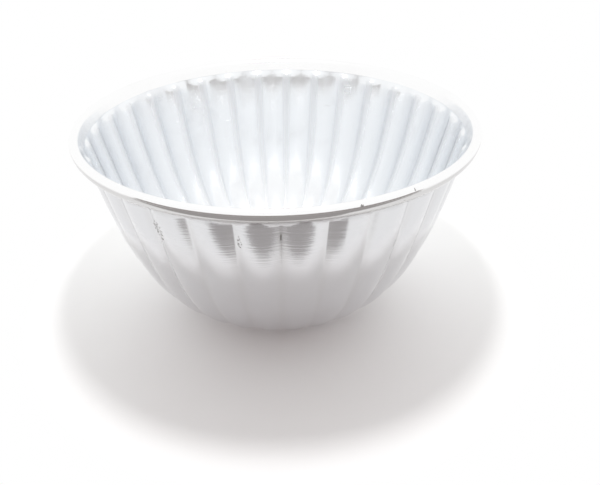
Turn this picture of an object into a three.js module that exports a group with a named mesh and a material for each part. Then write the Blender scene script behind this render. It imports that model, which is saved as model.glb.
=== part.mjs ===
import * as THREE from 'three';

// Sizes of the mould in millimetres and degrees, standing on its flat base
const RIM_DIAMETER = 160;
const HEIGHT = 82;
const BASE_DIAMETER = 48;
const FLARE_WIDTH = 4.15;
const FLARE_ANGLE = 73;
const CORNER_RADIUS = 6;
const SHEET_THICKNESS = 0.5;
const WALL_DRAFT = 13;

// The flutes bulge outwards as arcs, and meet in sharp ridges on the inside. Below, the ridges run out before
// the base. Above, they end in short slopes at the top of the wall, and leave the flare under the rim plain
const FLUTE_COUNT = 31;
const FLUTE_DEPTH = 1.8;
const FLUTE_RUNOUT = 14;
const RIDGE_END = 2;

// The edge of the sheet is rolled over and under around a ring of wire, until only a gap is left to the flare
const WIRE_DIAMETER = 2.1;
const WIRE_CLEARANCE = 0.25;
const CURL_GAP = 0.3;

// Fullness of the wall's curve: shares of its own height at the shoulder and its own reach at the belly
const SHOULDER_FULLNESS = 0.375;
const BELLY_FULLNESS = 0.8;

// Facets along and around each form
const STEPS_PER_FLUTE = 4;
const WALL_STEPS = 11;
const CORNER_STEPS = 2;
const ROLL_STEPS = 2;
const OVER_STEPS = 3;
const UNDER_STEPS = 5;
const WIRE_SIDES = 8;

const ALUMINIUM = { color: 0xd9dce0, metalness: 1, roughness: 0.28 };
const GALVANISED_STEEL = { color: 0x9a9ea3, metalness: 1, roughness: 0.45 };

// Sizes that follow from the ones above
const aroundSteps = FLUTE_COUNT * STEPS_PER_FLUTE;
const rimRadius = RIM_DIAMETER / 2;
const baseRadius = BASE_DIAMETER / 2;
const curlInnerRadius = WIRE_DIAMETER / 2 + WIRE_CLEARANCE;
const curlOuterRadius = curlInnerRadius + SHEET_THICKNESS;
const wireCentre = new THREE.Vector2(rimRadius - curlOuterRadius, HEIGHT - curlOuterRadius);

// The section is drawn with x as the radius and y as the height. The wall climbs at its draft angle to a
// knee, and the flare leaves the knee outwards and up to the roll. Both lines are on the sheet's under face
const draft = THREE.MathUtils.degToRad(WALL_DRAFT);
const flare = THREE.MathUtils.degToRad(FLARE_ANGLE);
const bend = Math.PI / 2 - draft - flare;
const wallLine = new THREE.Vector2(Math.sin(draft), Math.cos(draft));
const wallThrough = new THREE.Vector2(-wallLine.y, wallLine.x);
const flareLine = new THREE.Vector2(Math.cos(flare), Math.sin(flare));
const flareThrough = new THREE.Vector2(-flareLine.y, flareLine.x);
const rollStart = wireCentre.clone().addScaledVector(flareThrough, curlInnerRadius);
const flareLength = (rollStart.x - rimRadius + FLARE_WIDTH) / flareLine.x;
const knee = rollStart.clone().addScaledVector(flareLine, -flareLength);
const wallTop = knee.clone().addScaledVector(wallLine, -CORNER_RADIUS * Math.tan(bend / 2));
const cornerCentre = wallTop.clone().addScaledVector(wallThrough, -CORNER_RADIUS);

// Angles around the wire: the roll starts square to the flare, and the raw edge stops short of the flare
const top = Math.PI / 2;
const rollAngle = top + flare;
const rawEdgeAngle = rollAngle - 2 * Math.PI + Math.acos((curlInnerRadius - CURL_GAP) / curlOuterRadius);

// A station is one place along the sheet: a point on the under face, the direction through the sheet to the
// upper face, and how deep a ridge is pressed in that direction
function baseStations() {
  return [{ under: new THREE.Vector2(0, 0), through: new THREE.Vector2(0, 1), depth: 0 }];
}

// The wall leaves the base level, swells into the belly and leans out to its draft angle under the flare.
// Its ridges shrink with its radius, and its last ring of stations is where their end slopes start
function wallStations() {
  const belly = new THREE.Vector2(baseRadius + BELLY_FULLNESS * (wallTop.x - baseRadius), 0);
  const shoulder = wallTop.clone().addScaledVector(wallLine, -SHOULDER_FULLNESS * wallTop.y);
  const curve = new THREE.CubicBezierCurve(new THREE.Vector2(baseRadius, 0), belly, shoulder, wallTop);
  const length = curve.getLength();
  const ridgeShare = 1 - RIDGE_END / length;
  const stations = [];
  for (let step = 0; step <= WALL_STEPS; step += 1) {
    const share = (ridgeShare * step) / WALL_STEPS;
    const under = curve.getPointAt(share);
    const along = curve.getTangentAt(share);
    const through = new THREE.Vector2(-along.y, along.x);
    const runout = THREE.MathUtils.smoothstep(share * length, 0, FLUTE_RUNOUT);
    stations.push({ under, through, depth: FLUTE_DEPTH * runout * (under.x / wallTop.x) });
  }
  return stations;
}

// Stations on an arc, from one angle to another about a centre, with the sheet lying outside the arc
function arcStations(centre, radius, fromAngle, toAngle, steps) {
  const stations = [];
  for (let step = 0; step <= steps; step += 1) {
    const angle = THREE.MathUtils.lerp(fromAngle, toAngle, step / steps);
    const through = new THREE.Vector2(Math.cos(angle), Math.sin(angle));
    stations.push({ under: centre.clone().addScaledVector(through, radius), through, depth: 0 });
  }
  return stations;
}

// The ridges are down to nothing here, which gives the mouth its scalloped outline, and a soft corner turns
// the sheet further out into the plain flare
function cornerStations() {
  return arcStations(cornerCentre, CORNER_RADIUS, Math.PI - draft, rollAngle, CORNER_STEPS);
}

// The edge rolls from the flare over the top, then outwards and down around the wire to a raw edge underneath
function curlStations() {
  const arc = (from, to, steps) => arcStations(wireCentre, curlInnerRadius, from, to, steps);
  const roll = arc(rollAngle, top, ROLL_STEPS);
  const over = arc(top, 0, OVER_STEPS);
  const under = arc(0, rawEdgeAngle, UNDER_STEPS);
  return [...roll, ...over.slice(1), ...under.slice(1)];
}

// Across one flute the ridge shape is a parabola: none in the middle of the arc and full at its two edges
function ridgeShape(step) {
  const across = (2 * (step % STEPS_PER_FLUTE)) / STEPS_PER_FLUTE - 1;
  return across * across;
}

// The section runs out along the under face and back along the upper face, is turned once around the axis,
// and every point is then moved by its share of the ridge
function sheetGeometry(stations) {
  const face = (height) => stations.map(({ under, through, depth }) => ({
    point: under.clone().addScaledVector(through, height),
    ridge: through.clone().multiplyScalar(depth),
  }));
  const section = [...face(0), ...face(SHEET_THICKNESS).reverse()];
  const geometry = new THREE.LatheGeometry(section.map(({ point }) => point), aroundSteps);
  const positions = geometry.attributes.position;
  for (let step = 0; step <= aroundSteps; step += 1) {
    const angle = (2 * Math.PI * (step % aroundSteps)) / aroundSteps;
    const shape = ridgeShape(step);
    section.forEach(({ point, ridge }, index) => {
      const radius = point.x + shape * ridge.x;
      const height = point.y + shape * ridge.y;
      const vertex = step * section.length + index;
      positions.setXYZ(vertex, radius * Math.sin(angle), height, radius * Math.cos(angle));
    });
  }
  geometry.rotateX(Math.PI / 2);
  geometry.computeVertexNormals();
  return geometry;
}

function makeShell() {
  const wall = [...baseStations(), ...wallStations()];
  const geometry = sheetGeometry([...wall, ...cornerStations(), ...curlStations()]);
  const shell = new THREE.Mesh(geometry, new THREE.MeshStandardMaterial(ALUMINIUM));
  shell.name = 'mould_shell';
  return shell;
}

function makeWire() {
  const ring = new THREE.TorusGeometry(wireCentre.x, WIRE_DIAMETER / 2, WIRE_SIDES, aroundSteps);
  const wire = new THREE.Mesh(ring, new THREE.MeshStandardMaterial(GALVANISED_STEEL));
  wire.name = 'rim_wire';
  wire.position.z = wireCentre.y;
  return wire;
}

const mould = new THREE.Group();
mould.name = 'jelly_mould';
mould.add(makeShell(), makeWire());

export default mould;
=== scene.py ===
"""Pressed aluminium jelly mould: a fluted sheet with a rolled rim, the wire in it, and a bright studio."""

import logging
import math
from dataclasses import dataclass, fields
from enum import Enum

import bpy
import numpy as np
from bpy.types import Material, Node, NodeSocket, NodeTree, Object
from mathutils import Matrix, Vector


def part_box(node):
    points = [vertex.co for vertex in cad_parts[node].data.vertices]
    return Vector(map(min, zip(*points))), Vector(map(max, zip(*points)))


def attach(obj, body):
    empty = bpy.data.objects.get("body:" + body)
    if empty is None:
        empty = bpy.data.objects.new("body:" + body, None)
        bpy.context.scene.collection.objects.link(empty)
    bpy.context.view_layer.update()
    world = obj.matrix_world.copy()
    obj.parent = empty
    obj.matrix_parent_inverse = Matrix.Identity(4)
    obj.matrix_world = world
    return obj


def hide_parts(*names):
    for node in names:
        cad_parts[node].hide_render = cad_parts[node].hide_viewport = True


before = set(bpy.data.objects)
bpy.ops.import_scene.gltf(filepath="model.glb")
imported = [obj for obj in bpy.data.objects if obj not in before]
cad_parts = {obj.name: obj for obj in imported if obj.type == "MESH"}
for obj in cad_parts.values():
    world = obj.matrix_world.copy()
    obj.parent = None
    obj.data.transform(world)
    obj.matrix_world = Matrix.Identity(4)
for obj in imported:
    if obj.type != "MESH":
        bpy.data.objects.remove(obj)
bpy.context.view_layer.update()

LOG = logging.getLogger("jelly_mould")
MM = 0.001
BODY = "root"
SHELL_NODE = "mould_shell"
WIRE_NODE = "rim_wire"
NO_TRIANGLES = np.empty((0, 3), dtype=int)

Colour = tuple[float, float, float]
Operand = NodeSocket | float | tuple[float, ...]


class Zone(Enum):
    """Parts of the sheet that take a finish of their own; the value is the material index."""

    OUTSIDE = 0
    INSIDE = 1
    RIM = 2


@dataclass(frozen=True)
class MetalFinish:
    """One metal surface: its colour, gloss, spun lines and wear.

    Attributes:
        roughness: roughness where nothing adds to it.
        roughness_swing: the most that the spun lines add to the roughness.
        line_spacing: spacing of the spun lines along the section, in metres.
        line_height: height of the spun lines, in metres.
        waviness: height of the sheet's slow waves, in metres.
        tarnish: share of the dull film where it is full; along the ridges the film is partly real dulling and
            partly painted shade.
        scratches: strength of the hairline scratches.
    """

    name: str
    colour: Colour
    roughness: float
    roughness_swing: float
    line_spacing: float
    line_height: float
    waviness: float
    tarnish: float
    tarnish_and_ridge_shade_colour: Colour
    scratches: float


OUTSIDE_FINISH = MetalFinish(
    name="polished_outside",
    # Darker than bare aluminium: painted shade, so that the bright floor this face mirrors comes out dimmer
    colour=(0.75, 0.75, 0.765),
    roughness=0.10,
    roughness_swing=0.08,
    line_spacing=1.1 * MM,
    line_height=0.035 * MM,
    waviness=0.04 * MM,
    tarnish=0.20,
    tarnish_and_ridge_shade_colour=(0.66, 0.65, 0.64),
    scratches=0.20,
)
INSIDE_FINISH = MetalFinish(
    name="satin_inside",
    colour=(0.935, 0.95, 0.965),
    roughness=0.14,
    roughness_swing=0.08,
    line_spacing=1.5 * MM,
    line_height=0.006 * MM,
    waviness=0.04 * MM,
    tarnish=0.45,
    tarnish_and_ridge_shade_colour=(0.70, 0.71, 0.735),
    scratches=0.25,
)
RIM_FINISH = MetalFinish(
    name="burnished_rim",
    # Near white, brighter than bare aluminium: painted highlight, so that the top of the bead comes out white
    colour=(0.985, 0.985, 0.985),
    roughness=0.10,
    roughness_swing=0.06,
    line_spacing=0.5 * MM,
    line_height=0.003 * MM,
    waviness=0.01 * MM,
    tarnish=0.05,
    tarnish_and_ridge_shade_colour=(0.66, 0.64, 0.62),
    scratches=0.30,
)
WIRE_FINISH = MetalFinish(
    name="drawn_wire",
    colour=(0.55, 0.56, 0.58),
    roughness=0.42,
    roughness_swing=0.12,
    line_spacing=0.3 * MM,
    line_height=0.002 * MM,
    waviness=0.005 * MM,
    tarnish=0.50,
    tarnish_and_ridge_shade_colour=(0.35, 0.34, 0.33),
    scratches=0.20,
)


@dataclass(frozen=True)
class WearMark:
    """A worn place on the sheet.

    Attributes:
        place: its middle, in millimetres in the mould's frame.
        reach: how far it goes from there, in millimetres across and up.
        grain: size of the specks in millimetres.
        cover: share of the place that the specks cover.
    """

    place: tuple[float, float, float]
    reach: tuple[float, float]
    grain: float
    cover: float


OUTSIDE_MARKS = (
    WearMark(place=(-39.6, -60.6, 65.5), reach=(4.2, 9.5), grain=0.8, cover=0.50),
    WearMark(place=(-13.0, -71.6, 66.0), reach=(1.7, 7.5), grain=0.6, cover=0.47),
    # This one is a thin line of dark specks down the groove in front
    WearMark(place=(0.0, -72.8, 68.0), reach=(0.6, 9.0), grain=1.6, cover=0.65),
    WearMark(place=(-46.4, -55.3, 63.0), reach=(1.2, 1.2), grain=0.8, cover=0.50),
    WearMark(place=(-19.2, -69.6, 62.3), reach=(1.0, 1.0), grain=0.7, cover=0.50),
)
RIM_MARKS = (
    WearMark(place=(23.6, -76.2, 81.1), reach=(1.2, 1.0), grain=0.8, cover=0.5),
    WearMark(place=(37.5, -70.4, 79.4), reach=(1.5, 1.0), grain=0.8, cover=0.5),
    WearMark(place=(40.8, -68.1, 81.5), reach=(1.0, 0.8), grain=0.7, cover=0.5),
)
ZONE_FINISHES = {
    Zone.OUTSIDE: (OUTSIDE_FINISH, OUTSIDE_MARKS),
    Zone.INSIDE: (INSIDE_FINISH, ()),
    Zone.RIM: (RIM_FINISH, RIM_MARKS),
}


@dataclass(frozen=True)
class NoiseKind:
    """A noise: how fine it is, how many finer layers it has and how strong they are."""

    scale: float
    detail: float
    roughness: float


class NodeMaker:
    """Adds nodes to one node tree; an operand is a socket to link, or a number or tuple to set."""

    def __init__(self, tree: NodeTree) -> None:
        """Keeps the tree."""
        self.tree = tree

    def node(self, kind: str, *operands: Operand, **options: object) -> Node:
        """Adds a node.

        Args:
            kind: the node's type.
            operands: what its first inputs take, in their order.
            options: settings of the node, by name.

        Returns:
            The node.
        """
        node = self.tree.nodes.new(kind)
        for name, value in options.items():
            setattr(node, name, value)
        for socket, value in zip(node.inputs, operands):
            self.feed(socket, value)
        return node

    def feed(self, socket: NodeSocket, value: Operand) -> None:
        """Feeds an input.

        Args:
            socket: the input.
            value: an output to link to it, or a number or tuple to set on it.
        """
        if isinstance(value, NodeSocket):
            self.tree.links.new(value, socket)
        else:
            socket.default_value = value

    def math(self, operation: str, *operands: Operand) -> NodeSocket:
        """Adds a Math node."""
        return self.node("ShaderNodeMath", *operands, operation=operation).outputs["Value"]

    def vector(self, operation: str, *operands: Operand) -> NodeSocket:
        """Adds a Vector Math node; only a length comes out as a number."""
        node = self.node("ShaderNodeVectorMath", *operands, operation=operation)
        return node.outputs["Value" if operation == "LENGTH" else "Vector"]

    def between(self, value: Operand, limits: tuple[float, float]) -> NodeSocket:
        """Adds a smooth Map Range node that gives 0 at the first limit and 1 at the second."""
        node = self.node("ShaderNodeMapRange", value, *limits, interpolation_type="SMOOTHSTEP")
        return node.outputs["Result"]

    def noise(self, vector: Operand, kind: NoiseKind) -> NodeSocket:
        """Adds a Noise Texture node and returns its value."""
        node = self.node("ShaderNodeTexNoise", vector)
        for label in ("Scale", "Detail", "Roughness"):
            node.inputs[label].default_value = getattr(kind, label.lower())
        return node.outputs["Fac"]

    def mixed(self, kind: str, share: Operand, first: Operand, second: Operand) -> NodeSocket:
        """Adds a Mix node.

        Args:
            kind: what is mixed, RGBA or VECTOR.
            share: the share of the second operand.
            first: what is there at a share of 0.
            second: what is there at a share of 1.

        Returns:
            The mix.
        """
        node = self.node("ShaderNodeMix", share, data_type=kind)
        choices = [socket for socket in node.inputs if socket.type == kind and socket.name in "AB"]
        for socket, value in zip(choices, (first, second)):
            self.feed(socket, value)
        return next(socket for socket in node.outputs if socket.type == kind)


class GroupBuilder(NodeMaker):
    """Builds one shader node group with named sockets."""

    def __init__(self, name: str, vectors: list[str], values: list[str], results: list[str]) -> None:
        """Makes the group and its sockets.

        Args:
            name: the group's name.
            vectors: the name of each vector that the group takes.
            values: the name of each number that the group takes.
            results: the name of each number that the group puts out.
        """
        super().__init__(bpy.data.node_groups.new(name, "ShaderNodeTree"))
        sockets = [(label, "INPUT", "NodeSocketVector") for label in vectors]
        sockets += [(label, "INPUT", "NodeSocketFloat") for label in values]
        sockets += [(label, "OUTPUT", "NodeSocketFloat") for label in results]
        for label, side, kind in sockets:
            self.tree.interface.new_socket(label, in_out=side, socket_type=kind)
        self.given = self.node("NodeGroupInput").outputs
        self.results = self.node("NodeGroupOutput").inputs


class MetalEffects:
    """The node groups that every metal finish shares.

    A noise's scale is per metre, except for the lines and the specks, whose places are first divided by
    their spacing or grain.
    """

    LINE_DRIFT = 14.0
    LINE_NOISE = NoiseKind(scale=1.0, detail=3.0, roughness=0.7)
    SWELL_NOISE = NoiseKind(scale=55.0, detail=1.0, roughness=0.4)
    CLOUD_NOISE = NoiseKind(scale=38.0, detail=3.0, roughness=0.6)
    CLOUD_LIMITS = (0.48, 0.78)
    # Past these limits the film is full along the ridges: painted shade for the dark streaks beside them,
    # over some real dulling
    RIDGE_SHADE_LIMITS = (0.30, 0.90)
    SCRATCH_NOISE = NoiseKind(scale=90.0, detail=2.0, roughness=0.5)
    SCRATCH_TURNS = ((0.4, 0.9, 0.3), (1.3, -0.5, 1.1))
    SCRATCH_STRETCHES = ((1.0, 9.0, 3.0), (7.0, 1.0, 4.0))
    SCRATCH_LEVEL = 0.5
    SCRATCH_LIMITS = (0.0, 0.006)
    WEAR_LIMITS = (0.35, 1.0)
    SPECK_NOISE = NoiseKind(scale=1.0, detail=2.0, roughness=0.6)
    SPECK_LIMITS = (0.0, 0.05)

    def __init__(self) -> None:
        """Builds each group once."""
        self.spun_lines = self.build_spun_lines()
        self.tarnish = self.build_tarnish_and_ridge_shade()
        self.scratches = self.build_scratches()
        self.worn_place = self.build_worn_place()

    def build_spun_lines(self) -> NodeTree:
        """Fine lines around the axis, and slow waves.

        The lines are noise that changes slowly across the mould and quickly along the section.

        Returns:
            The group.
        """
        group = GroupBuilder("spun_lines", ["Place"], ["Along", "Spacing"], ["Fine", "Swell"])
        place = group.given["Place"]
        across, deep, _ = group.node("ShaderNodeSeparateXYZ", place).outputs
        drifts = [group.math("MULTIPLY", part, self.LINE_DRIFT) for part in (across, deep)]
        count = group.math("DIVIDE", group.given["Along"], group.given["Spacing"])
        lines = group.node("ShaderNodeCombineXYZ", *drifts, count).outputs["Vector"]
        group.feed(group.results["Fine"], group.noise(lines, self.LINE_NOISE))
        group.feed(group.results["Swell"], group.noise(place, self.SWELL_NOISE))
        return group.tree

    def build_tarnish_and_ridge_shade(self) -> NodeTree:
        """Dull film: cloudy patches of real tarnish, and a full film along the ridges that is partly real
        dulling and partly painted shade.

        Returns:
            The group.
        """
        group = GroupBuilder("tarnish", ["Place"], ["Crease"], ["Film"])
        cloud = group.between(group.noise(group.given["Place"], self.CLOUD_NOISE), self.CLOUD_LIMITS)
        crease = group.between(group.given["Crease"], self.RIDGE_SHADE_LIMITS)
        group.feed(group.results["Film"], group.math("MAXIMUM", cloud, crease))
        return group.tree

    def build_scratches(self) -> NodeTree:
        """Hairline scratches: two sets of stretched noise, kept where it crosses its middle level.

        Returns:
            The group.
        """
        group = GroupBuilder("scratches", ["Place"], [], ["Hairlines"])
        masks = []
        for turn, stretch in zip(self.SCRATCH_TURNS, self.SCRATCH_STRETCHES):
            mapping = group.node("ShaderNodeMapping", group.given["Place"])
            mapping.inputs["Rotation"].default_value = turn
            mapping.inputs["Scale"].default_value = stretch
            value = group.noise(mapping.outputs["Vector"], self.SCRATCH_NOISE)
            off_level = group.math("ABSOLUTE", group.math("SUBTRACT", value, self.SCRATCH_LEVEL))
            masks.append(group.math("SUBTRACT", 1.0, group.between(off_level, self.SCRATCH_LIMITS)))
        group.feed(group.results["Hairlines"], group.math("MAXIMUM", *masks))
        return group.tree

    def build_worn_place(self) -> NodeTree:
        """Dark specks around one place: noise above a level that rises with the distance from its middle.

        Returns:
            The group.
        """
        group = GroupBuilder("worn_place", ["Place", "Middle", "Reach"], ["Grain", "Cover"], ["Specks"])
        place, middle, reach = (group.given[label] for label in ("Place", "Middle", "Reach"))
        share = group.vector("DIVIDE", group.vector("SUBTRACT", place, middle), reach)
        outside = group.between(group.vector("LENGTH", share), self.WEAR_LIMITS)
        inside = group.math("SUBTRACT", 1.0, outside)
        grain = group.noise(group.vector("DIVIDE", place, group.given["Grain"]), self.SPECK_NOISE)
        level = group.math("SUBTRACT", 1.0, group.math("MULTIPLY", inside, group.given["Cover"]))
        specks = group.between(group.math("SUBTRACT", grain, level), self.SPECK_LIMITS)
        group.feed(group.results["Specks"], specks)
        return group.tree


class MetalMaterial(NodeMaker):
    """One metal material, made from a finish and the shared effects."""

    METALLIC = 1.0
    FILM_ROUGHNESS = 0.3
    HAIRLINE_ROUGHNESS = 0.3
    SPECK_COLOUR = (0.30, 0.29, 0.28)
    SPECK_ROUGHNESS = 0.25
    # Painted shade for the corner under the curl and the curl's lower face: its colour and its greatest share
    UNDER_CURL_SHADE_COLOUR = (0.38, 0.365, 0.36)
    UNDER_CURL_SHADE_SHARE = 0.85

    def __init__(self, finish: MetalFinish, effects: MetalEffects, marks: tuple[WearMark, ...] = ()) -> None:
        """Builds the material.

        Args:
            finish: the surface's colour, gloss and wear.
            effects: the shared node groups.
            marks: worn places on this surface.
        """
        self.material = bpy.data.materials.new(finish.name)
        self.material.use_nodes = True
        super().__init__(self.material.node_tree)
        self.finish = finish
        self.effects = effects
        self.place = self.node("ShaderNodeTexCoord").outputs["Object"]
        along, crease = self.attribute("along"), self.attribute("crease")
        self.lines = self.effect(effects.spun_lines, Along=along, Spacing=finish.line_spacing).outputs
        self.film = self.effect(effects.tarnish, Crease=crease).outputs["Film"]
        self.hairlines = self.effect(effects.scratches).outputs["Hairlines"]
        self.specks = [self.worn_place(mark) for mark in marks]
        shader = self.tree.nodes["Principled BSDF"]
        shader.inputs["Metallic"].default_value = self.METALLIC
        self.feed(shader.inputs["Base Color"], self.colour())
        self.feed(shader.inputs["Roughness"], self.roughness())
        self.feed(shader.inputs["Normal"], self.normal())

    def attribute(self, name: str) -> NodeSocket:
        """Reads a number stored on the mesh."""
        return self.node("ShaderNodeAttribute", attribute_name=name).outputs["Fac"]

    def effect(self, group: NodeTree, **values: Operand) -> Node:
        """Places a shared group and feeds it.

        Args:
            group: the node group.
            values: what its inputs take, by name, apart from the place on the object.

        Returns:
            The group's node.
        """
        node = self.node("ShaderNodeGroup", node_tree=group)
        for label, value in {"Place": self.place, **values}.items():
            self.feed(node.inputs[label], value)
        return node

    def worn_place(self, mark: WearMark) -> NodeSocket:
        """Places the specks of one worn place.

        Args:
            mark: the worn place.

        Returns:
            The mask of its specks.
        """
        across, rise = mark.reach
        node = self.effect(
            self.effects.worn_place,
            Middle=tuple(part * MM for part in mark.place),
            Reach=(across * MM, across * MM, rise * MM),
            Grain=mark.grain * MM,
            Cover=mark.cover,
        )
        return node.outputs["Specks"]

    def colour(self) -> NodeSocket:
        """Clean metal under the dull film, which is partly painted shade along the ridges, then painted shade
        in the corner under the curl and on the curl's lower face, then specks.

        Returns:
            The colour.
        """
        layers = [
            # The film's colour is real tarnish in the cloudy patches and partly painted shade along the
            # ridges
            (self.math("MULTIPLY", self.film, self.finish.tarnish), self.finish.tarnish_and_ridge_shade_colour),
            # Painted shade, where the mesh's shade number is high: under the curl and on the curl's lower
            # face
            (self.math("MULTIPLY", self.attribute("painted_shade"), self.UNDER_CURL_SHADE_SHARE), self.UNDER_CURL_SHADE_COLOUR),
            *((mask, self.SPECK_COLOUR) for mask in self.specks),
        ]
        colour = (*self.finish.colour, 1.0)
        for share, cover in layers:
            colour = self.mixed("RGBA", share, colour, (*cover, 1.0))
        return colour

    def roughness(self) -> NodeSocket:
        """The polish, plus what the spun lines, the film, the scratches and the specks add.

        Returns:
            The roughness.
        """
        layers = [
            (self.lines["Fine"], self.finish.roughness_swing),
            (self.film, self.finish.tarnish * self.FILM_ROUGHNESS),
            (self.hairlines, self.finish.scratches * self.HAIRLINE_ROUGHNESS),
            *((mask, self.SPECK_ROUGHNESS) for mask in self.specks),
        ]
        rough = self.finish.roughness
        for mask, amount in layers:
            rough = self.math("MULTIPLY_ADD", mask, amount, rough)
        return rough

    def normal(self) -> NodeSocket:
        """The surface's normal, tilted by its slow waves and then by its spun lines.

        Returns:
            The normal.
        """
        swell = self.node("ShaderNodeBump")
        fine = self.node("ShaderNodeBump")
        self.feed(swell.inputs["Distance"], self.finish.waviness)
        self.feed(swell.inputs["Height"], self.lines["Swell"])
        self.feed(fine.inputs["Distance"], self.finish.line_height)
        self.feed(fine.inputs["Height"], self.lines["Fine"])
        self.feed(fine.inputs["Normal"], swell.outputs["Normal"])
        return fine.outputs["Normal"]


def smoothstep(value: np.ndarray) -> np.ndarray:
    """Eases from 0 to 1: three squares less two cubes of the value, held between 0 and 1."""
    held = np.clip(value, 0.0, 1.0)
    return held * held * (3.0 - 2.0 * held)


def direction(angle: float | np.ndarray) -> np.ndarray:
    """Unit vectors in the section: the cosine and the sine of each angle."""
    return np.stack([np.cos(angle), np.sin(angle)], axis=-1)


def both_faces(under: np.ndarray, upper: np.ndarray) -> np.ndarray:
    """Rows out along the under face of the sheet, then back along the upper face."""
    return np.concatenate([under, upper[::-1]])


def cubic_place(corners: np.ndarray, share: np.ndarray) -> np.ndarray:
    """Points on a cubic curve: its corners weighted by the Bernstein terms.

    Args:
        corners: one row for each of the curve's four corners.
        share: for each point, how far along the curve it lies, from 0 to 1.

    Returns:
        One row for each point.
    """
    back = 1.0 - share
    weights = np.stack([back**3, 3 * back**2 * share, 3 * back * share**2, share**3], axis=-1)
    return weights @ corners


def mesh_object(
    name: str, points: np.ndarray, quads: np.ndarray, triangles: np.ndarray = NO_TRIANGLES
) -> Object:
    """Makes a smooth mesh object at the origin.

    Args:
        name: the object's name.
        points: one row of x, y and z for each vertex.
        quads: one row of four vertex numbers for each quad.
        triangles: one row of three vertex numbers for each triangle.

    Returns:
        The linked object, with its quads first and then its triangles.
    """
    mesh = bpy.data.meshes.new(name)
    loops = np.concatenate([quads.ravel(), triangles.ravel()]).astype(np.int32)
    sides = np.repeat([4, 3], [len(quads), len(triangles)])
    starts = (np.cumsum(sides) - sides).astype(np.int32)
    mesh.vertices.add(len(points))
    mesh.vertices.foreach_set("co", points.astype(np.float32).ravel())
    mesh.loops.add(len(loops))
    mesh.loops.foreach_set("vertex_index", loops)
    mesh.polygons.add(len(starts))
    mesh.polygons.foreach_set("loop_start", starts)
    mesh.polygons.foreach_set("use_smooth", np.ones(len(starts), dtype=bool))
    mesh.update(calc_edges=True)
    mesh.validate()
    piece = bpy.data.objects.new(name, mesh)
    bpy.context.scene.collection.objects.link(piece)
    return piece


def store_values(piece: Object, values: dict[str, np.ndarray]) -> None:
    """Stores numbers on a mesh for its materials.

    Args:
        piece: the mesh object.
        values: for each attribute's name, one number for each vertex.
    """
    for name, numbers in values.items():
        attribute = piece.data.attributes.new(name, "FLOAT", "POINT")
        attribute.data.foreach_set("value", numbers.astype(np.float32))


def ring_quads(rings: int, around: int, closed: bool) -> np.ndarray:
    """Quads that join each ring of a surface to the next.

    Args:
        rings: the number of rings.
        around: the number of points on each ring.
        closed: True where the last ring joins the first.

    Returns:
        One row of four vertex numbers for each quad, with its face outwards.
    """
    first = np.arange(rings if closed else rings - 1)[:, None]
    place = np.arange(around)[None, :]
    here = first * around
    beyond = ((first + 1) % rings) * around
    turn = (place + 1) % around
    corners = np.broadcast_arrays(here + place, here + turn, beyond + turn, beyond + place)
    return np.stack(corners, axis=-1).reshape(-1, 4)


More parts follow.
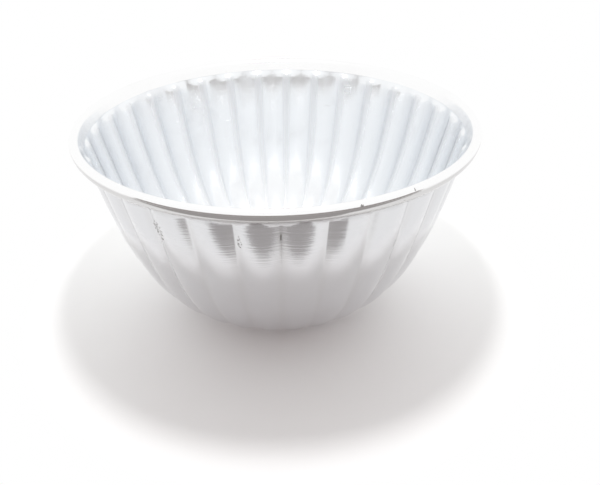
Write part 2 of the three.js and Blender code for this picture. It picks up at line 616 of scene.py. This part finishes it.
@dataclass(frozen=True)
class SheetSizes:
    """Sizes of the pressed sheet in metres and radians; the rim and the height come from the frame.

    The section is drawn with the radius first and the height second, on the under face of the sheet.

    Attributes:
        rim_radius: radius of the mould at the outside of its rim.
        flare_width: how far the foot of the flare lies inside the rim.
        flare_angle: how steeply the flare rises.
        draft: how far the top of the wall leans out from upright.
        shoulder_fullness: how long the wall keeps its draft, as a share of its height.
        belly_fullness: how long the wall stays level, as a share of its reach.
        flute_depth: depth of the ridges between the flutes at the top of the wall.
        flute_runout: length of wall over which the ridges grow from the base.
        ridge_end: length of wall over which the ridges end at the top.
        ridge_softness: rounding of a ridge, as a share of half a flute.
        wire_clearance: gap between the wire and the curl.
        curl_gap: gap between the raw edge of the curl and the flare.
        curl_droop: how deep the curl hangs below the wire's centre, as a multiple of a round curl's depth.
    """

    rim_radius: float
    height: float
    base_radius: float = 24 * MM
    flare_width: float = 4.15 * MM
    flare_angle: float = math.radians(73)
    corner_radius: float = 6 * MM
    thickness: float = 0.5 * MM
    draft: float = math.radians(13)
    shoulder_fullness: float = 0.375
    belly_fullness: float = 0.8
    flute_count: int = 31
    flute_depth: float = 1.35 * MM
    flute_runout: float = 14 * MM
    ridge_end: float = 2 * MM
    ridge_softness: float = 0.07
    wire_radius: float = 1.05 * MM
    wire_clearance: float = 0.25 * MM
    curl_gap: float = 0.3 * MM
    curl_droop: float = 1.7

    @property
    def curl_inner_radius(self) -> float:
        """Radius of the curl's inner face about the wire's centre."""
        return self.wire_radius + self.wire_clearance

    @property
    def curl_outer_radius(self) -> float:
        """Radius of the curl's outer face about the wire's centre."""
        return self.curl_inner_radius + self.thickness

    @property
    def wire_centre(self) -> np.ndarray:
        """Place of the wire's centre."""
        return np.array([self.rim_radius, self.height]) - self.curl_outer_radius

    @property
    def wall_angle(self) -> float:
        """Angle in the section of the direction through the sheet at the top of the wall."""
        return math.pi - self.draft

    @property
    def roll_angle(self) -> float:
        """Angle in the section of the direction through the sheet on the flare, where the roll starts."""
        return math.pi / 2 + self.flare_angle

    @property
    def raw_edge_angle(self) -> float:
        """Angle about the wire where the raw edge stops short of the flare."""
        short = math.acos((self.curl_inner_radius - self.curl_gap) / self.curl_outer_radius)
        return self.roll_angle - 2 * math.pi + short

    @property
    def wall_line(self) -> np.ndarray:
        """Direction of the wall at its top."""
        return direction(math.pi / 2 - self.draft)

    @property
    def roll_start(self) -> np.ndarray:
        """Place where the flare ends and the roll starts."""
        return self.wire_centre + self.curl_inner_radius * direction(self.roll_angle)

    @property
    def knee(self) -> np.ndarray:
        """Place where the lines of the wall and the flare cross, in the middle of a flute."""
        line = direction(self.flare_angle)
        length = (self.roll_start[0] - self.rim_radius + self.flare_width) / line[0]
        return self.roll_start - length * line

    @property
    def wall_top(self) -> np.ndarray:
        """Place where the wall ends at its soft corner."""
        half_bend = (self.wall_angle - self.roll_angle) / 2
        return self.knee - self.wall_line * self.corner_radius * math.tan(half_bend)

    @property
    def corner_centre(self) -> np.ndarray:
        """Centre of the soft corner between wall and flare."""
        return self.wall_top - self.corner_radius * direction(self.wall_angle)


@dataclass
class Stations:
    """Places along the sheet in section: arrays with one row for each place.

    Attributes:
        under: radius and height on the under face.
        through: direction through the sheet to the upper face.
        ridge: how far and which way a ridge is pressed in.
        is_rim: True on the plain flare and the curl.
    """

    under: np.ndarray
    through: np.ndarray
    ridge: np.ndarray
    is_rim: np.ndarray

    @staticmethod
    def plain(under: np.ndarray, through: np.ndarray, is_rim: bool) -> "Stations":
        """Makes stations that have no ridges.

        Args:
            under: radius and height of each place on the under face.
            through: direction through the sheet, one for each place or one for all.
            is_rim: True where the places belong to the rim.

        Returns:
            The stations.
        """
        directions = np.broadcast_to(through, under.shape)
        return Stations(under, directions, np.zeros_like(under), np.full(len(under), is_rim))

    @staticmethod
    def joined(runs: list["Stations"]) -> "Stations":
        """Puts runs of stations end to end.

        Args:
            runs: the runs, in order along the sheet.

        Returns:
            One run that holds all the places.
        """
        names = [field.name for field in fields(Stations)]
        return Stations(*(np.concatenate([getattr(run, name) for run in runs]) for name in names))


@dataclass(frozen=True)
class FlutedShell:
    """The pressed sheet: base, fluted wall, flare and curl, with both faces and the raw edge."""

    sizes: SheetSizes

    BASE_RINGS = 8
    WALL_RINGS = 54
    CORNER_RINGS = 3
    RIDGE_END_RINGS = 6
    FLARE_RINGS = 4
    ROLL_RINGS = 6
    CURL_RINGS = 20
    STEPS_PER_FLUTE = 14
    # The wall's length is summed over these samples, and its direction taken across this small step
    CURVE_SAMPLES = 2001
    CURVE_NUDGE = 1e-4
    UNEVENNESS_SEED = 31
    DEPTH_UNEVENNESS = 0.05
    PLACE_UNEVENNESS = math.radians(0.12)
    SHARP_ANGLE = math.radians(50)
    # Painted shade starts this far below the top of the wall, and covers this share of the curl below this
    # angle
    PAINTED_SHADE_DEPTH = 2.6 * MM
    CURL_PAINTED_SHADE = 0.57
    CURL_PAINTED_SHADE_ANGLE = math.radians(25)

    def base_run(self) -> Stations:
        """The flat base, in rings of even spacing from near the axis to the edge of the flat."""
        radius = self.sizes.base_radius * np.arange(1, self.BASE_RINGS) / self.BASE_RINGS
        under = np.stack([radius, np.zeros_like(radius)], axis=-1)
        return Stations.plain(under, np.array([0.0, 1.0]), False)

    def wall_run(self) -> Stations:
        """The wall, a cubic curve that leaves the base level and leans out to the draft under the flare.

        Ridges stand square to the wall. Their depth shrinks with the radius, runs out before the base, and
        falls evenly to nothing over the last short length at the top.

        Returns:
            The stations, at even steps of the curve's length and closer together where the ridges end.
        """
        size = self.sizes
        top = size.wall_top
        start = np.array([size.base_radius, 0.0])
        belly = start + np.array([size.belly_fullness * (top[0] - size.base_radius), 0.0])
        shoulder = top - size.wall_line * size.shoulder_fullness * top[1]
        corners = np.stack([start, belly, shoulder, top])
        samples = np.linspace(0.0, 1.0, self.CURVE_SAMPLES)
        steps = np.linalg.norm(np.diff(cubic_place(corners, samples), axis=0), axis=1)
        length = np.concatenate([[0.0], np.cumsum(steps)])
        full = length[-1] - size.ridge_end
        below = np.linspace(0.0, full, self.WALL_RINGS, endpoint=False)
        ending = np.linspace(full, length[-1], self.RIDGE_END_RINGS, endpoint=False)
        wanted = np.concatenate([below, ending])
        share = np.interp(wanted, length, samples)
        under = cubic_place(corners, share)
        nudge = self.CURVE_NUDGE
        along = cubic_place(corners, share + nudge) - cubic_place(corners, share - nudge)
        along /= np.linalg.norm(along, axis=1, keepdims=True)
        run = Stations.plain(under, np.stack([-along[:, 1], along[:, 0]], axis=-1), False)
        growth = smoothstep(wanted / size.flute_runout) * under[:, 0] / top[0]
        depth = size.flute_depth * growth * np.clip((length[-1] - wanted) / size.ridge_end, 0.0, 1.0)
        run.ridge = run.through * depth[:, None]
        return run

    @staticmethod
    def arc_run(centre: np.ndarray, radius: float, angles: np.ndarray, is_rim: bool) -> Stations:
        """A plain arc with the sheet lying outside it: the centre plus the radius along each angle.

        Args:
            centre: radius and height of the arc's centre.
            radius: the arc's radius on the under face.
            angles: the angle of each station in the section.
            is_rim: True where the arc belongs to the rim.

        Returns:
            The stations.
        """
        through = direction(angles)
        return Stations.plain(centre + radius * through, through, is_rim)

    def corner_run(self) -> Stations:
        """The soft corner between wall and flare."""
        size = self.sizes
        angles = np.linspace(size.wall_angle, size.roll_angle, self.CORNER_RINGS, endpoint=False)
        return self.arc_run(size.corner_centre, size.corner_radius, angles, False)

    def flare_run(self) -> Stations:
        """The plain straight flare from the corner to the roll."""
        size = self.sizes
        through = direction(size.roll_angle)
        start = size.corner_centre + size.corner_radius * through
        share = np.linspace(0.0, 1.0, self.FLARE_RINGS, endpoint=False)[:, None]
        return Stations.plain(start + share * (size.roll_start - start), through, True)

    def roll_run(self) -> Stations:
        """The start of the roll, from the flare up to the top of the rim."""
        size = self.sizes
        angles = np.linspace(size.roll_angle, math.pi / 2, self.ROLL_RINGS, endpoint=False)
        return self.arc_run(size.wire_centre, size.curl_inner_radius, angles, True)

    def curl_run(self) -> Stations:
        """The edge, curled outwards and down around the wire from the top of the rim to a raw end.

        It is an arc whose depth below the wire's centre is multiplied by the droop.

        Returns:
            The stations.
        """
        size = self.sizes
        over = np.linspace(math.pi / 2, 0.0, self.CURL_RINGS // 2, endpoint=False)
        under = np.linspace(0.0, size.raw_edge_angle, self.CURL_RINGS + 1)
        angles = np.concatenate([over, under])
        run = self.arc_run(size.wire_centre, size.curl_inner_radius, angles, True)
        drop = run.under[:, 1] - size.wire_centre[1]
        run.under[:, 1] = size.wire_centre[1] + np.where(drop < 0.0, size.curl_droop * drop, drop)
        return run

    def around(self) -> tuple[np.ndarray, np.ndarray]:
        """Angles around the axis, and the ridge shape at each.

        Across a flute, from -1 at one ridge to 1 at the next, the shape is the square of the distance from
        the middle, softened at the ridge. Steps are closer together near the ridges. Depth and place vary a
        little from ridge to ridge and are blended across each flute.

        Returns:
            The angles, and the shape from 0 in the middle of a flute to about 1 on a ridge.
        """
        size = self.sizes
        random = np.random.default_rng(self.UNEVENNESS_SEED)
        depth = 1.0 + self.DEPTH_UNEVENNESS * random.uniform(-1.0, 1.0, size.flute_count)
        shift = self.PLACE_UNEVENNESS * random.uniform(-1.0, 1.0, size.flute_count)
        across = np.sin(np.linspace(-0.5, 0.5, self.STEPS_PER_FLUTE, endpoint=False) * math.pi)
        soft = size.ridge_softness
        shape = ((1.0 - np.hypot(1.0 - np.abs(across), soft)) / (1.0 - soft)) ** 2
        blend = (across + 1.0) / 2.0
        pitch = 2.0 * math.pi / size.flute_count
        first = np.arange(size.flute_count)[:, None]
        mixed_depth = depth[:, None] * (1.0 - blend) + np.roll(depth, -1)[:, None] * blend
        mixed_shift = shift[:, None] * (1.0 - blend) + np.roll(shift, -1)[:, None] * blend
        angles = -math.pi / 2 + pitch * (first + blend) + mixed_shift
        return angles.ravel(), (shape * mixed_depth).ravel()

    def build(self) -> Object:
        """Turns the section around the axis and presses the flutes in.

        A point's radius and height are those of its station, out along the under face and back along the
        upper face, plus the ridge share at its angle. A fan closes each face at the axis.

        Returns:
            The sheet, with the numbers that its materials read and each face's material index.
        """
        size = self.sizes
        curl = self.curl_run()
        lower = [self.base_run(), self.wall_run(), self.corner_run()]
        run = Stations.joined([*lower, self.flare_run(), self.roll_run(), curl])
        is_curl = np.arange(len(run.under)) >= len(run.under) - len(curl.under)
        section = both_faces(run.under, run.under + size.thickness * run.through)
        ridge = both_faces(run.ridge, run.ridge)
        angles, shape = self.around()
        radius = section[:, :1] + ridge[:, :1] * shape
        height = section[:, 1:] + ridge[:, 1:] * shape
        rings, steps_around = radius.shape
        grid = np.stack([radius * np.cos(angles), radius * np.sin(angles), height], axis=-1)
        poles = [[0.0, 0.0, 0.0], [0.0, 0.0, size.thickness]]
        points = np.concatenate([grid.reshape(-1, 3), poles])
        under_pole, upper_pole = (np.full(steps_around, rings * steps_around + pole) for pole in range(2))
        place = np.arange(steps_around)
        turn = (place + 1) % steps_around
        last = (rings - 1) * steps_around
        under_fan = np.stack([under_pole, turn, place], axis=-1)
        upper_fan = np.stack([last + place, last + turn, upper_pole], axis=-1)
        quads = ring_quads(rings, steps_around, closed=False)
        piece = mesh_object("fluted_sheet", points, quads, np.concatenate([under_fan, upper_fan]))
        values = self.surface_values(run, is_curl, shape)
        at_poles = np.zeros(len(poles))
        store_values(piece, {name: np.append(numbers, at_poles) for name, numbers in values.items()})
        self.set_zones(piece, run.is_rim, steps_around)
        piece.data.set_sharp_from_angle(angle=self.SHARP_ANGLE)
        return piece

    def surface_values(self, run: Stations, is_curl: np.ndarray, shape: np.ndarray) -> dict[str, np.ndarray]:
        """Works out the numbers that the materials read.

        The length along the section is summed from the axis. The crease is the ridge's share of its full
        depth. The painted shade, standing in for the shadow under the curl, is full in the corner under the
        curl and partial on the curl's lower face.

        Args:
            run: the stations of the sheet, from the axis to the raw edge.
            is_curl: for each station, True on the curl.
            shape: the ridge shape at each angle.

        Returns:
            For each attribute's name, one row for each ring of both faces and one column for each angle.
        """
        size = self.sizes
        steps = np.linalg.norm(np.diff(run.under, axis=0), axis=1)
        along = run.under[0, 0] + np.concatenate([[0.0], np.cumsum(steps)])
        crease = np.clip(np.linalg.norm(run.ridge, axis=1) / size.flute_depth, 0.0, 1.0)
        corner = smoothstep((run.under[:, 1] - size.wall_top[1] + self.PAINTED_SHADE_DEPTH) / size.ridge_end)
        below = self.CURL_PAINTED_SHADE * smoothstep(1.0 - run.through[:, 1] / math.sin(self.CURL_PAINTED_SHADE_ANGLE))
        painted_shade = both_faces(np.where(is_curl, 0.0, corner), np.where(is_curl, below, 0.0))
        level = np.ones_like(shape)
        return {
            "along": both_faces(along, along)[:, None] * level,
            "crease": both_faces(crease, crease)[:, None] * shape,
            "painted_shade": painted_shade[:, None] * level,
        }

    @staticmethod
    def set_zones(piece: Object, is_rim: np.ndarray, steps_around: int) -> None:
        """Gives each face the material index of its zone.

        Args:
            piece: the sheet.
            is_rim: for each station of one face of the sheet, True on the plain flare and the curl.
            steps_around: the number of points on each ring.
        """
        under = np.where(is_rim, Zone.RIM.value, Zone.OUTSIDE.value)
        upper = np.where(is_rim, Zone.RIM.value, Zone.INSIDE.value)
        fans = [Zone.OUTSIDE.value, Zone.INSIDE.value]
        bands = np.concatenate([both_faces(under, upper)[:-1], fans])
        index = np.repeat(bands, steps_around).astype(np.int32)
        piece.data.polygons.foreach_set("material_index", index)

    @staticmethod
    def dress(piece: Object, effects: MetalEffects) -> None:
        """Gives the sheet the material of each zone, in the order of the zones."""
        for zone in Zone:
            finish, marks = ZONE_FINISHES[zone]
            piece.data.materials.append(MetalMaterial(finish, effects, marks).material)


@dataclass(frozen=True)
class RimWire:
    """The ring of wire inside the rolled rim."""

    sizes: SheetSizes

    STEPS_AROUND = 372
    SIDES = 16

    def build(self) -> Object:
        """A ring: the wire's centre circle plus its radius along each angle of its round section.

        Returns:
            The wire, with the numbers that its material reads.
        """
        size = self.sizes
        angles = np.linspace(0.0, 2 * math.pi, self.STEPS_AROUND, endpoint=False)
        sides = np.linspace(0.0, 2 * math.pi, self.SIDES, endpoint=False)
        section = size.wire_centre + size.wire_radius * direction(sides)
        radius, height = section[:, :1], section[:, 1:]
        grid = np.broadcast_arrays(radius * np.cos(angles), radius * np.sin(angles), height)
        quads = ring_quads(self.SIDES, self.STEPS_AROUND, closed=True)
        piece = mesh_object("rim_wire_ring", np.stack(grid, axis=-1).reshape(-1, 3), quads)
        length = np.repeat(size.wire_radius * sides, self.STEPS_AROUND)
        store_values(piece, {"along": length, "crease": np.zeros_like(length)})
        return piece

    @staticmethod
    def dress(piece: Object, effects: MetalEffects) -> None:
        """Gives the wire its material."""
        piece.data.materials.append(MetalMaterial(WIRE_FINISH, effects).material)


@dataclass(frozen=True)
class Studio:
    """White paper on a dark table, an overhead lamp, soft light from all round and a dark room in front.

    Places are in metres, angles in radians and the lamp's power in watts. The dark table and the dark room
    have levels of even brightness.

    Attributes:
        floor_drop: how far the floor lies below the base, so that the two faces never share a level.
        lit_floor_radius: radius within which the paper shows the shadow in full.
        white_floor_radius: radius beyond which the floor is plain white.
        front_light: window light on the paper from the front.
        back_light: window light on the paper from the back.
        lamp_forward: how far the lamp hangs in front of the mould's axis.
        table_edge: place of the paper's front edge, where the dark table starts.
        table_rise: how far the dark table lies above the floor.
        paper_corner_start: place to the right from which the paper reaches further forward.
        paper_corner_width: width over which it does so.
        paper_corner_reach: how much further forward it reaches.
        room_half_turn: how far the dark room goes round the mould to each side.
    """

    floor_half: float = 2.5
    floor_drop: float = 0.05 * MM
    floor_colour: Colour = (0.86, 0.86, 0.86)
    floor_roughness: float = 0.9
    lit_floor_radius: float = 0.100
    white_floor_radius: float = 0.118
    front_light: Colour = (1.91, 1.73, 1.70)
    back_light: Colour = (5.09, 5.15, 5.12)
    lamp_height: float = 0.32
    lamp_forward: float = 0.020
    lamp_diameter: float = 0.045
    lamp_power: float = 0.46
    room_level: Colour = (0.30, 0.275, 0.265)
    table_level: Colour = (0.42, 0.40, 0.395)
    table_edge: float = -0.109
    table_reach: float = 0.60
    table_half_width: float = 0.40
    table_rise: float = 0.4 * MM
    paper_corner_start: float = 0.050
    paper_corner_width: float = 0.025
    paper_corner_reach: float = 0.025
    room_radius: float = 0.60
    room_height: float = 0.175
    room_half_turn: float = math.radians(70)

    CARD_STEPS = 32
    WHITE = (1.0, 1.0, 1.0)
    BLACK = (0.0, 0.0, 0.0)

    def build(self) -> None:
        """Makes the floor, the dark cards, the lamp and the world."""
        self.make_floor()
        self.make_dark_cards()
        self.make_lamp()
        self.make_world()

    def make_floor(self) -> None:
        """A flat sheet whose far part glows white, so that the background stays white around the shadow."""
        corners = np.array([[-1.0, -1.0], [1.0, -1.0], [1.0, 1.0], [-1.0, 1.0]])
        points = np.insert(self.floor_half * corners, 2, -self.floor_drop, axis=1)
        floor = mesh_object("studio_floor", points, np.array([[0, 1, 2, 3]]))
        floor.data.materials.append(self.floor_material())

    def floor_material(self) -> Material:
        """Matt paper near the mould that turns to plain white further out.

        Returns:
            The material.
        """
        material = bpy.data.materials.new("studio_paper")
        material.use_nodes = True
        maker = NodeMaker(material.node_tree)
        paper = maker.tree.nodes["Principled BSDF"]
        paper.inputs["Base Color"].default_value = (*self.floor_colour, 1.0)
        paper.inputs["Roughness"].default_value = self.floor_roughness
        paper.inputs["Specular IOR Level"].default_value = 0.0
        place = maker.node("ShaderNodeTexCoord").outputs["Object"]
        limits = (self.lit_floor_radius, self.white_floor_radius)
        share = maker.between(maker.vector("LENGTH", place), limits)
        glow = maker.node("ShaderNodeEmission", (*self.WHITE, 1.0))
        mix = maker.node("ShaderNodeMixShader", share, paper.outputs["BSDF"], glow.outputs["Emission"])
        maker.feed(maker.tree.nodes["Material Output"].inputs["Surface"], mix.outputs["Shader"])
        return material

    def make_dark_cards(self) -> None:
        """The dark table beyond the paper and the dark room behind the camera, which only the metal mirrors.

        The table is level, from the paper's front edge to its own far edge. The room is an upright band on
        an arc around the mould.
        """
        side = np.linspace(-self.table_half_width, self.table_half_width, self.CARD_STEPS + 1)
        corner = smoothstep((side - self.paper_corner_start) / self.paper_corner_width)
        near = self.table_edge - self.paper_corner_reach * corner
        far = np.full_like(near, self.table_edge - self.table_reach)
        table = (side, np.stack([near, far]), self.table_rise)
        turn = np.linspace(-self.room_half_turn, self.room_half_turn, self.CARD_STEPS + 1)
        rise = np.array([0.0, self.room_height])[:, None]
        room = (self.room_radius * np.sin(turn), -self.room_radius * np.cos(turn), rise)
        place = np.arange(self.CARD_STEPS)
        above = place + self.CARD_STEPS + 1
        quads = np.stack([place, place + 1, above + 1, above], axis=-1)
        cards = (("dark_table", table, self.table_level), ("dark_room", room, self.room_level))
        for name, grid, level in cards:
            points = np.stack(np.broadcast_arrays(*grid), axis=-1).reshape(-1, 3)
            card = mesh_object(name, points, quads)
            card.data.materials.append(self.glow_material(name, level))
            card.visible_camera = False
            card.visible_diffuse = False
            card.visible_shadow = False

    @staticmethod
    def glow_material(name: str, level: Colour) -> Material:
        """Makes a material of one even brightness.

        Args:
            name: the material's name.
            level: its brightness in red, green and blue.

        Returns:
            The material.
        """
        material = bpy.data.materials.new(name)
        material.use_nodes = True
        maker = NodeMaker(material.node_tree)
        glow = maker.node("ShaderNodeEmission", (*level, 1.0))
        maker.feed(maker.tree.nodes["Material Output"].inputs["Surface"], glow.outputs["Emission"])
        return material

    def make_lamp(self) -> None:
        """A round lamp above the mould, small enough to give the rim a shadow with a soft edge."""
        data = bpy.data.lights.new("overhead_lamp", "AREA")
        data.shape = "DISK"
        data.size = self.lamp_diameter
        data.energy = self.lamp_power
        lamp = bpy.data.objects.new("overhead_lamp", data)
        lamp.location = (0.0, -self.lamp_forward, self.lamp_height)
        bpy.context.scene.collection.objects.link(lamp)

    def make_world(self) -> None:
        """White walls in view and in reflections, and low window light on the paper, strongest at the back.

        On the paper, the light from a direction is the front light times its front share plus the back light
        times its back share. Each share is half of one less the direction's height, less or plus its depth.
        """
        world = bpy.data.worlds.new("white_room")
        world.use_nodes = True
        world.cycles.sampling_method = "NONE"
        maker = NodeMaker(world.node_tree)
        way = maker.node("ShaderNodeTexCoord").outputs["Generated"]
        _, depth, height = maker.node("ShaderNodeSeparateXYZ", way).outputs
        low = maker.math("MULTIPLY_ADD", height, -0.5, 0.5)
        lights = []
        for light, half in ((self.front_light, -0.5), (self.back_light, 0.5)):
            share = maker.math("MULTIPLY_ADD", depth, half, low)
            lights.append(maker.vector("MULTIPLY", light, share))
        soft = maker.vector("MAXIMUM", maker.vector("ADD", *lights), self.BLACK)
        is_diffuse = maker.node("ShaderNodeLightPath").outputs["Is Diffuse Ray"]
        shade = maker.mixed("VECTOR", is_diffuse, self.WHITE, soft)
        maker.feed(maker.tree.nodes["Background"].inputs["Color"], shade)
        bpy.context.scene.world = world


@dataclass(frozen=True)
class PhotoCamera:
    """The photograph's camera, measured from the centre of the rim's widest circle.

    Attributes:
        place: x, y and z from that centre, in metres, before the turn.
        tilt: how far the camera looks down.
        roll: how far the picture is turned.
        turn: turn about the mould's axis that lines the flutes up.
        focal_pixels: focal length in pixels of the image.
        centre_shift: the optical centre's place from the middle of the image, in pixels right and down.
        clip_start: the nearest distance that the camera sees, in metres.
    """

    place: tuple[float, float, float] = (0.944 * MM, -211.823 * MM, 79.529 * MM)
    tilt: float = math.radians(34.083)
    roll: float = math.radians(-1.333)
    turn: float = math.radians(-0.941)
    focal_pixels: float = 542.28
    centre_shift: tuple[float, float] = (-19.72, 3.54)
    clip_start: float = 10 * MM

    IMAGE_WIDTH = 600
    SENSOR_WIDTH = 36.0

    def build(self, rim_level: float) -> None:
        """Adds the camera and makes it the scene's.

        Args:
            rim_level: height of the rim's widest circle.
        """
        data = bpy.data.cameras.new("photo_camera")
        data.sensor_fit = "HORIZONTAL"
        data.sensor_width = self.SENSOR_WIDTH
        data.lens = self.focal_pixels * self.SENSOR_WIDTH / self.IMAGE_WIDTH
        data.shift_x = -self.centre_shift[0] / self.IMAGE_WIDTH
        data.shift_y = self.centre_shift[1] / self.IMAGE_WIDTH
        data.clip_start = self.clip_start
        facing = Matrix.Rotation(math.pi / 2 - self.tilt, 4, "X") @ Matrix.Rotation(self.roll, 4, "Z")
        place = Matrix.Translation(Vector(self.place) + Vector((0.0, 0.0, rim_level)))
        camera = bpy.data.objects.new("photo_camera", data)
        bpy.context.scene.collection.objects.link(camera)
        camera.matrix_world = Matrix.Rotation(self.turn, 4, "Z") @ place @ facing
        bpy.context.scene.camera = camera


def main() -> None:
    """Builds the mould, its finishes, the studio and the camera."""
    logging.basicConfig(level=logging.INFO, format="%(name)s: %(message)s")
    low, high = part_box(SHELL_NODE)
    sizes = SheetSizes(rim_radius=(high.x - low.x) / 2, height=high.z)
    effects = MetalEffects()
    shell, ring = FlutedShell(sizes), RimWire(sizes)
    sheet, wire = shell.build(), ring.build()
    shell.dress(sheet, effects)
    ring.dress(wire, effects)
    for piece, node, slot in ((sheet, SHELL_NODE, "sheet_aluminium"), (wire, WIRE_NODE, "wire_steel")):
        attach(piece, BODY)
        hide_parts(node)
        LOG.info("%s: %d faces, for %s", piece.name, len(piece.data.polygons), node)
    Studio().build()
    PhotoCamera().build(float(sizes.wire_centre[1]))
    bpy.context.scene.view_settings.view_transform = "Standard"


if __name__ == "__main__":
    main()
